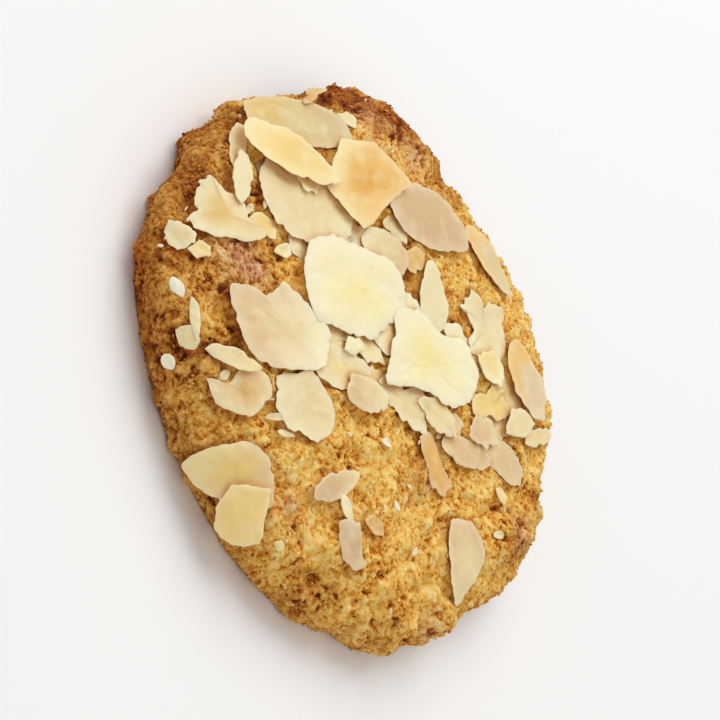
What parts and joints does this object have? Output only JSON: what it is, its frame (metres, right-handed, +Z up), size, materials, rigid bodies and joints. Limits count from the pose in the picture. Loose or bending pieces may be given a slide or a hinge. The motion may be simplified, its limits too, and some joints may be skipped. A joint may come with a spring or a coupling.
{
  "type": "butter cookie",
  "caption": "Round butter cookie with a craggy golden crumb, a flat baked underside and broken almond flakes strewn over its crown.",
  "frame": {"origin": "middle of the flat baked underside, on the surface the cookie lies on", "axes": "+Z up out of the almond-strewn crown; X and Y lie in the underside"},
  "size_m": [0.0897, 0.0905, 0.0166],
  "materials": {
    "baked_crumb": "matte"
  },
  "bodies": {
    "root": {"butter_cookie": "baked_crumb"}
  },
  "joints": []
}
